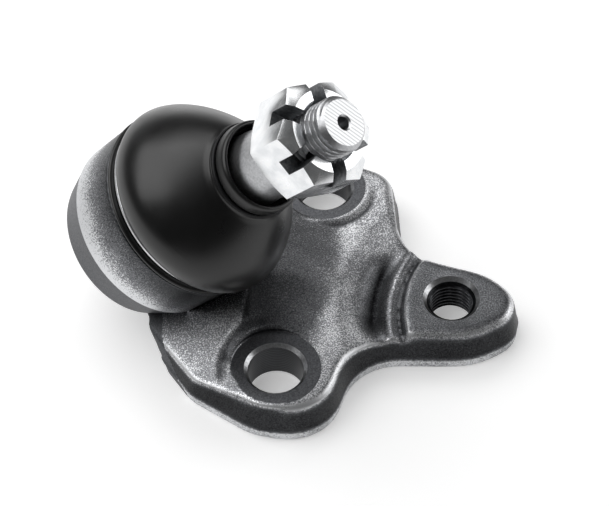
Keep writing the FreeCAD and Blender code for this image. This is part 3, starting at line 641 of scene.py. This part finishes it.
# which finish each face has: as blasted, milled flat, chamfered, drilled or tapped
def housingFinish(obj, wearAndLight):
    h = housing
    blasted, milled, chamfered, drilled, tapped = range(5)
    facing = 0.98
    rimLow, rimHigh = h["rimHeights"]
    rimInside, rimOutside = h["rimRadii"]
    for face in obj.data.polygons:
        centre, normal = face.center / mm, face.normal
        toHole = min(math.hypot(centre.x, centre.y - h["holeAt"]),
                     math.hypot(centre.x, centre.y + h["holeAt"]))
        toTap = math.hypot(centre.x - h["threadAt"], centre.y)
        along, across = alongAndAcross(face.center)
        wall = cupRadius(along)
        spot = h["frontSpot"] if centre.y < 0 else h["backSpot"]
        finish = blasted
        if normal.z > facing and toHole < spot and abs(centre.z - milledTop) < 0.05:
            finish = milled
        elif normal.z < -facing and centre.z < 0.05:
            finish = milled
        elif toHole < h["holeRadius"] + h["chamfer"] and centre.z < milledTop:
            finish = chamfered if abs(normal.z) > 0.4 else drilled
        elif toTap < h["threadMouth"] + 0.02 and centre.z < h["faceHeight"]:
            atMouth = centre.z > h["faceHeight"] - 1.0 or centre.z < 1.0
            # crests take the lighter milled finish, roots and flanks the dark one: painted shade in the
            # thread
            crest = toTap < h["threadMajor"] - h["threadDepth"] + 0.1
            finish = milled if crest else tapped
            if atMouth and toTap > h["threadMajor"] - 0.1:
                finish = chamfered
        elif along < h["cupCorner"] and wall and abs(across.length - wall) < 0.12:
            finish = milled
        elif along < h["cupRoll"]:
            finish = milled
        elif rimLow < along < rimHigh and rimInside < across.length < rimOutside:
            finish = drilled
        face.material_index = finish
    attribute = obj.data.attributes.new("wear_and_painted_light", "FLOAT", "POINT")
    tree, values = wearAndLight
    sideFrom, sideWithin = h["side"]
    for vert in obj.data.vertices:
        along, across = alongAndAcross(vert.co)
        wall = cupRadius(along)
        onSide = along > sideFrom and across.length < sideWithin
        if onSide and wall and abs(across.length - wall) < 0.25:
            # the cup's turned side, lighter toward the top, with a painted highlight along the belt at its
            # corner
            value = 0.75 * easeBetween(vert.co.z / mm, *h["sideLighter"]) - 0.5
            value = 0.95 if abs(along - h["beltAt"]) < h["beltHalf"] else value
        else:
            value = values[tree.find(vert.co)[1]]
        attribute.data[vert.index].value = value


housingMesh, wearAndLight = housingShape()
housingMesh.name = "forged_housing"
setMaterials(housingMesh, forgedSteel, machinedSteel, chamferSteel, drilledSteel, tappedSteel)
housingFinish(housingMesh, wearAndLight)
smoothByAngle(housingMesh, 28)
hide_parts("housing")
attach(housingMesh, "joint_body")
print("housing made", len(housingMesh.data.polygons))

# Ball stud: turned shank with a real thread, centre hole and pin hole, in mm from the ball centre
stud = {"ball": 13.5, "ballStep": 3.2, "ballTop": 11.6,
        "shank": [(6.5, 11.832), (6.5, 17), (9.4, 21), (9.4, 32), (8.2, 51.2)], "rootFrom": 51.25,
        "pitch": 1.75, "depth": 1.05, "crest": 6.95, "root": 5.9, "start": 52.6, "end": 72.4,
        "rowsFrom": 52.5, "rowsTo": 72.9, "rowSteps": 149, "leadFrom": 52.4, "leadSlope": 0.95,
        "endChamfer": 71.7, "tip": 73, "tipFace": 5.65, "pinHole": 1.65, "pinAt": 63.4,
        "centreHole": [(2.0, 73), (1.6, 72.6), (1.6, 68), (0, 67.2)]}


def studShape():
    s = stud
    profile = [(0, -s["ball"])]
    for step in range(1, 48):
        angle = math.radians(180 - step * s["ballStep"])
        if s["ball"] * math.cos(angle) > s["ballTop"]:
            break
        profile.append((s["ball"] * math.sin(angle), s["ball"] * math.cos(angle)))
    profile += s["shank"] + [(s["root"], s["rootFrom"]), (s["root"], s["leadFrom"])]
    # close rows, for the thread to shape: a rising lead, the crest, and the chamfer at the end
    for step in range(s["rowSteps"] + 1):
        z = s["rowsFrom"] + (s["rowsTo"] - s["rowsFrom"]) * step / s["rowSteps"]
        rising = s["root"] + (z - s["leadFrom"]) * s["leadSlope"]
        profile.append((min(s["crest"], rising, s["crest"] - max(z - s["endChamfer"], 0)), z))
    profile += [(s["tipFace"], s["tip"])] + s["centreHole"]
    shaft = latheObject("ball_stud_turned", profile, 128)
    cutThread(shaft, groundSteel, s["pitch"], s["depth"], s["crest"], s["start"], s["end"], False)
    tidyNormals(shaft)
    acrossStud = Matrix.Translation((0, 0, s["pinAt"] * mm)) @ Matrix.Rotation(math.pi / 2, 4, "X")
    pinDrill = rodObject("pinDrill", s["pinHole"], -10, 10, 32, acrossStud)
    return booleanWith(shaft, pinDrill, "DIFFERENCE")


studMesh = studShape()
setMaterials(studMesh, groundSteel, sawnSteel)
for face in studMesh.data.polygons:
    face.material_index = 1 if face.center.z > (stud["tip"] - 0.02) * mm else 0
studMesh.data.transform(alongStud)
smoothByAngle(studMesh, 40)
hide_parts("ball_stud")
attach(studMesh, "stud")
print("stud made", len(studMesh.data.polygons))

# Castle nut: hexagon, turned corners, six slots, and a thread on the stud's helix, in mm
nut = {"start": 52.2, "height": 14.6, "flats": 24, "turn": 39.7, "slot": 3.9, "depth": 6.8, "slotLength": 40,
       "over": 2.0, "face": 11.4, "crown": 10.2, "cornerSlope": 30, "bevel": 0.18, "bore": 7.03,
       "mouth": 7.85, "threadDepth": 0.4, "slotInner": 7.2}


# three bars across the end, set round the axis
def slotTree():
    group = bpy.data.node_groups.new("slotRing", "GeometryNodeTree")
    face = group.interface
    for name in ("Width", "Depth", "Length", "Top"):
        face.new_socket(name, in_out="INPUT", socket_type="NodeSocketFloat")
    face.new_socket("Material", in_out="INPUT", socket_type="NodeSocketMaterial")
    face.new_socket("Geometry", in_out="OUTPUT", socket_type="NodeSocketGeometry")
    given = addNode(group, "NodeGroupInput").outputs
    size = addNode(group, "ShaderNodeCombineXYZ", {0: given["Width"], 1: given["Length"], 2: given["Depth"]})
    bar = addNode(group, "GeometryNodeMeshCube", {"Size": size})
    points = addNode(group, "GeometryNodePoints", {"Count": 3})
    index = addNode(group, "GeometryNodeInputIndex")
    angle = addNode(group, "ShaderNodeMath", {0: index, 1: math.pi / 3}, operation="MULTIPLY")
    turn = addNode(group, "ShaderNodeCombineXYZ", {2: angle})
    bars = addNode(group, "GeometryNodeInstanceOnPoints", {
        "Points": points, "Instance": bar, "Rotation": turn})
    lift = addNode(group, "ShaderNodeCombineXYZ", {2: given["Top"]})
    raised = addNode(group, "GeometryNodeTransform", {"Geometry": bars, "Translation": lift})
    real = addNode(group, "GeometryNodeRealizeInstances", {0: raised})
    coated = addNode(group, "GeometryNodeSetMaterial", {"Geometry": real, "Material": given["Material"]})
    addNode(group, "NodeGroupOutput", {0: coated})
    return group


def slotBars():
    obj = linkObject("slotBars", bpy.data.meshes.new("slotBars"))
    modifier = obj.modifiers.new("Slots", "NODES")
    modifier.node_group = slotTree()
    barHeight = nut["depth"] + nut["over"]
    setGroupInputs(modifier, {
        "Width": nut["slot"] * mm, "Length": nut["slotLength"] * mm, "Depth": barHeight * mm,
        "Top": (nut["height"] - nut["depth"] + barHeight / 2) * mm, "Material": sawnPlateInSlotShade})
    bakeModifiers(obj)
    # the bars cross each other, so each eight corners become a cutter of their own
    corners = [vert.co.copy() for vert in obj.data.vertices]
    sides = [tuple(face.vertices) for face in obj.data.polygons]
    bpy.data.objects.remove(obj)
    bars = []
    for first in range(0, len(corners), 8):
        faces = [tuple(i - first for i in side) for side in sides if first <= side[0] < first + 8]
        bar = meshObject("slotBar", corners[first:first + 8], faces)
        tidyNormals(bar)
        bars.append(bar)
    return bars


def nutShape():
    n = nut
    corner = n["flats"] / math.sqrt(3)
    low = [Vector((corner * math.cos(math.radians(a)), corner * math.sin(math.radians(a)), 0)) * mm
           for a in range(0, 360, 60)]
    high = [p + Vector((0, 0, n["height"] * mm)) for p in low]
    faces = [tuple(range(5, -1, -1)), tuple(range(6, 12))]
    faces += [(i, (i + 1) % 6, (i + 1) % 6 + 6, i + 6) for i in range(6)]
    blank = meshObject("castle_nut_plated", low + high, faces)
    slope = math.tan(math.radians(n["cornerSlope"]))
    wide = corner + 0.5
    skin = latheObject("nutSkin", [
        (0, 0), (n["face"], 0), (wide, (wide - n["face"]) * slope),
        (wide, n["height"] - (wide - n["crown"]) * slope), (n["crown"], n["height"]), (0, n["height"])], 192)
    booleanWith(blank, skin, "INTERSECT")
    for bar in slotBars():
        booleanWith(blank, bar, "DIFFERENCE")
    bevel = blank.modifiers.new("Edges", "BEVEL")
    bevel.width = n["bevel"] * mm
    bevel.segments = 2
    bevel.limit_method = "ANGLE"
    bevel.angle_limit = math.radians(28)
    bakeModifiers(blank)
    # the tap is made in the stud's own frame, so that both threads share one helix
    tap = latheObject("nutTap", tapProfile(n["bore"], n["mouth"], n["height"], 160, n["start"]), 128)
    cutThread(tap, zincPlate, stud["pitch"], n["threadDepth"], n["bore"] + n["threadDepth"],
              n["start"] + 0.1, n["start"] + n["height"] - 0.1, True)
    tap.data.transform(Matrix.Rotation(math.radians(-n["turn"]), 4, "Z")
                       @ Matrix.Translation((0, 0, -n["start"] * mm)))
    tidyNormals(tap)
    return booleanWith(blank, tap, "DIFFERENCE")


# slot walls and floors are the faces that look along or across a slot inside the crown
def nutFinish(obj):
    n = nut
    slotFloor = n["height"] - n["depth"]
    for face in obj.data.polygons:
        centre, normal = face.center / mm, face.normal
        away = math.hypot(centre.x, centre.y)
        outward = (normal.x * centre.x + normal.y * centre.y) / max(away, 0.1)
        inSlot = slotFloor - 0.1 < centre.z < n["height"] - 0.3 and away > n["slotInner"]
        wall = inSlot and abs(normal.z) < 0.1 and abs(outward) < 0.75
        floor = inSlot and normal.z > 0.98 and centre.z < slotFloor + 0.3
        # slot walls and floors take the darker finish: painted shade in the slots
        face.material_index = 1 if wall or floor else 0


nutMesh = nutShape()
setMaterials(nutMesh, zincPlate, sawnPlateInSlotShade)
nutFinish(nutMesh)
nutMesh.data.transform(alongStud @ Matrix.Translation((0, 0, nut["start"] * mm))
                       @ Matrix.Rotation(math.radians(nut["turn"]), 4, "Z"))
smoothByAngle(nutMesh, 32)
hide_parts("castle_nut")
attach(nutMesh, "nut")
print("nut made", len(nutMesh.data.polygons))

# Boot: one moulding whose rings follow the bend from the cup's axis to the stud's. Its rows are
# (distance from the ball centre, radius) in mm.
boot = {"wall": 1.8, "ringAt": 7.3, "ringSeat": 22.1, "ringWire": 1.6, "swell": 3.1, "bulgeAt": 12,
        "curve": 1.8, "lean": 3.4, "collarStart": 33.5, "collarRadius": 11.6, "splitAt": 21,
        "segments": 160, "domeFrom": 8.6, "domeRun": 24.4, "domeSteps": 44, "wallFrom": 10, "wallTo": 32,
        "foot": [(4.85, 20.75), (4.8, 23.9), (4.95, 24.25), (5.3, 24.4), (5.65, 24.3), (5.85, 23.9),
                 (6.1, 22.6), (6.45, 22.15), (7.3, 22.12), (8.1, 22.15), (8.35, 22.5), (8.5, 23.1)],
        "footInside": [(4.85, 20.75), (8.6, 20.8)], "innerFrom": 9.4,
        "collar": [(33.4, 11.95), (33.6, 11.7), (33.9, 11.62), (34.35, 11.58), (34.5, 11.4), (34.55, 11.0),
                   (34.7, 10.92), (36.1, 10.92), (36.25, 11.0), (36.3, 11.4), (36.45, 11.58), (36.8, 11.62),
                   (38.9, 11.6), (39.4, 11.5), (39.8, 11.25), (39.97, 10.9), (39.9, 10.55), (39.5, 10.3),
                   (38.4, 10.05), (37.9, 9.85), (37.7, 9.55), (37.2, 9.45)],
        "collarInside": [(33.4, 9.7), (34.5, 9.5)]}


# centre and axis of the ring at a distance from the ball centre
def bootRing(distance):
    b = boot
    share = min(max((distance - b["ringAt"]) / (b["collarStart"] - b["ringAt"]), 0), 1)
    ease = easeBetween(share, 0, 1)
    axis = (cupAxis * (1 - ease) + studAxis * ease).normalized()
    lean = (studAxis - cupAxis * cupAxis.dot(studAxis)).normalized()
    centre = ballCentre + (axis * distance + lean * b["lean"] * math.sin(math.pi * share)) * mm
    return centre, axis


# outer radius of the dome: a quick rise from the ring to the bulge, then a long fall to the collar
def bootRadius(distance):
    b = boot
    bulge = b["ringSeat"] + b["swell"]
    if distance < b["bulgeAt"]:
        start = b["ringSeat"] + b["ringWire"] * 0.75
        rise = max((distance - b["ringAt"]) / (b["bulgeAt"] - b["ringAt"]), 0)
        return start + (bulge - start) * math.sin(math.pi / 2 * rise)
    run = (distance - b["bulgeAt"]) / (b["collarStart"] - b["bulgeAt"])
    return bulge - (bulge - b["collarRadius"]) * run ** b["curve"]


# closed shell: the rows of the outer skin, then those of the inner one back
def bootSurface(name, outer, inner):
    rows = outer + inner[::-1]
    points, faces = [], []
    count = boot["segments"]
    side = cupAxis.cross(Vector((0, 1, 0))).normalized()
    for distance, radius in rows:
        centre, axis = bootRing(distance)
        across = (side - axis * axis.dot(side)).normalized()
        other = axis.cross(across)
        for step in range(count):
            angle = 2 * math.pi * step / count
            points.append(centre + (across * math.cos(angle) + other * math.sin(angle)) * radius * mm)
    for row in range(len(rows)):
        here = row * count
        after = (row + 1) % len(rows) * count
        for step in range(count):
            turn = (step + 1) % count
            faces.append((here + step, here + turn, after + turn, after + step))
    obj = meshObject(name, points, faces)
    tidyNormals(obj)
    obj.data.shade_smooth()
    obj.data.materials.append(bootRubber)
    return obj


def bootRows():
    b = boot
    split = b["splitAt"]
    steps = [b["domeFrom"] + b["domeRun"] * step / b["domeSteps"] for step in range(b["domeSteps"] + 1)]
    dome = [(distance, bootRadius(distance)) for distance in steps]
    inside = [(distance, radius - b["wall"]) for distance, radius in dome]
    seam = (split, bootRadius(split))
    seamInside = (split, seam[1] - b["wall"])
    low = b["foot"] + [row for row in dome if row[0] < split] + [seam]
    lowInside = b["footInside"] + [(b["innerFrom"], bootRadius(b["innerFrom"]) - b["wall"])]
    lowInside += [row for row in inside if b["wallFrom"] < row[0] < split] + [seamInside]
    high = [seam] + [row for row in dome if row[0] > split] + b["collar"]
    highInside = [seamInside] + [row for row in inside if split < row[0] < b["wallTo"]] + b["collarInside"]
    return low, lowInside, high, highInside


# both halves get the normals of an unbroken skin at the seam
def matchSeam(obj, seam):
    normals = [vert.normal.copy() for vert in obj.data.vertices]
    slope = (bootRadius(seam + 0.05) - bootRadius(seam - 0.05)) / 0.1
    centre, axis = bootRing(seam)
    radius = bootRadius(seam)
    for vert in obj.data.vertices:
        offset = (vert.co - centre) / mm
        along = offset.dot(axis)
        across = offset - axis * along
        if abs(along) < 0.02 and abs(across.length - radius) < 0.1:
            normals[vert.index] = (across.normalized() - axis * slope).normalized()
    obj.data.normals_split_custom_set_from_vertices(normals)


lowOuter, lowInner, highOuter, highInner = bootRows()
bootLower = bootSurface("boot_lower_half", lowOuter, lowInner)
bootUpper = bootSurface("boot_upper_half", highOuter, highInner)
for piece, nodes in ((bootLower, ("boot_skirt", "boot_wall")), (bootUpper, ("boot_collar",))):
    matchSeam(piece, boot["splitAt"])
    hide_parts(*nodes)
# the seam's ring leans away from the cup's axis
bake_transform(bootLower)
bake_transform(bootUpper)
print("boot made")

# Nodes that keep their CAD shape
for node, material in (("boot_retaining_ring", drawnWire), ("collar_clip", blackWire),
                       ("upper_seat", acetal), ("lower_seat", acetal),
                       ("preload_spring", groundSteel), ("end_cap", machinedSteel)):
    setMaterials(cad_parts[node], material)
    smoothByAngle(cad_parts[node], 30)

# Floor, world, lights and camera. Each lamp is its place and its two widths in metres, and its
# power in watts; all three point at one spot just above the floor.
stage = {"glow": 0.32, "world": 0.1, "reach": 3.0, "lookAt": (0, 0, 0.01),
         "over": ((-0.48, 0.04, 0.75), (1.05, 0.85), 7.3),
         "back": ((-0.12, 0.60, 0.70), (0.6, 0.4), 1.3),
         "right": ((0.66, 0.30, 0.33), (0.5, 0.45), 1.6)}
floorMaterial, tree, shader, where = newMaterial("painted board, matt white", Roughness=0.9)
shader.inputs["Base Color"].default_value = hexColour("f6f6f6")
# the glow shows to the camera, in reflections and through glass, but lights no matt surface
path = addNode(tree, "ShaderNodeLightPath").outputs
seen = path["Is Camera Ray"]
for ray in ("Is Glossy Ray", "Is Transmission Ray"):
    seen = addNode(tree, "ShaderNodeMath", {0: seen, 1: path[ray]}, operation="MAXIMUM")
glow = addNode(tree, "ShaderNodeEmission", {"Color": (1, 1, 1, 1), "Strength": stage["glow"]})
lifted = addNode(tree, "ShaderNodeAddShader", {0: shader, 1: glow})
pick = addNode(tree, "ShaderNodeMixShader", {0: seen, 1: shader, 2: lifted})
tree.links.new(pick.outputs[0], tree.nodes["Material Output"].inputs["Surface"])
reach = stage["reach"]
corners = [(-reach, -reach, 0), (reach, -reach, 0), (reach, reach, 0), (-reach, reach, 0)]
floor = meshObject("floor", corners, [(0, 1, 2, 3)])
floor.data.materials.append(floorMaterial)

world = bpy.data.worlds.new("studio")
bpy.context.scene.world = world
world.use_nodes = True
world.node_tree.nodes["Background"].inputs["Color"].default_value = (1, 1, 1, 1)
world.node_tree.nodes["Background"].inputs["Strength"].default_value = stage["world"]

for name in ("over", "back", "right"):
    place, size, power = stage[name]
    light = bpy.data.lights.new(name, "AREA")
    light.shape = "RECTANGLE"
    light.size, light.size_y = size
    light.energy = power
    lamp = linkObject(name, light)
    lamp.location = place
    lamp.rotation_mode = "QUATERNION"
    lamp.rotation_quaternion = (Vector(stage["lookAt"]) - lamp.location).to_track_quat("-Z", "Y")

# place, target, lens and sensor in mm, roll in degrees, clip in metres
view = {"place": (97.9, -432.7, 567.3), "target": (-0.454, 7.202, 11.6), "roll": -1.07, "lens": 165.4,
        "sensor": 36, "clip": (0.01, 20)}
camera = bpy.data.cameras.new("camera")
camera.lens = view["lens"]
camera.sensor_width = view["sensor"]
camera.sensor_fit = "HORIZONTAL"
camera.clip_start, camera.clip_end = view["clip"]
cameraObject = linkObject("camera", camera)
back = (Vector(view["place"]) - Vector(view["target"])).normalized()
right = Vector((0, 0, 1)).cross(back).normalized()
up = back.cross(right)
roll = math.radians(view["roll"])
sideways = right * math.cos(roll) + up * math.sin(roll)
upward = up * math.cos(roll) - right * math.sin(roll)
cameraObject.matrix_world = Matrix.Translation(Vector(view["place"]) * mm) @ Matrix(
    (sideways, upward, back)).transposed().to_4x4()
bpy.context.scene.camera = cameraObject
bpy.context.scene.view_settings.view_transform = "Standard"
print("stage made")
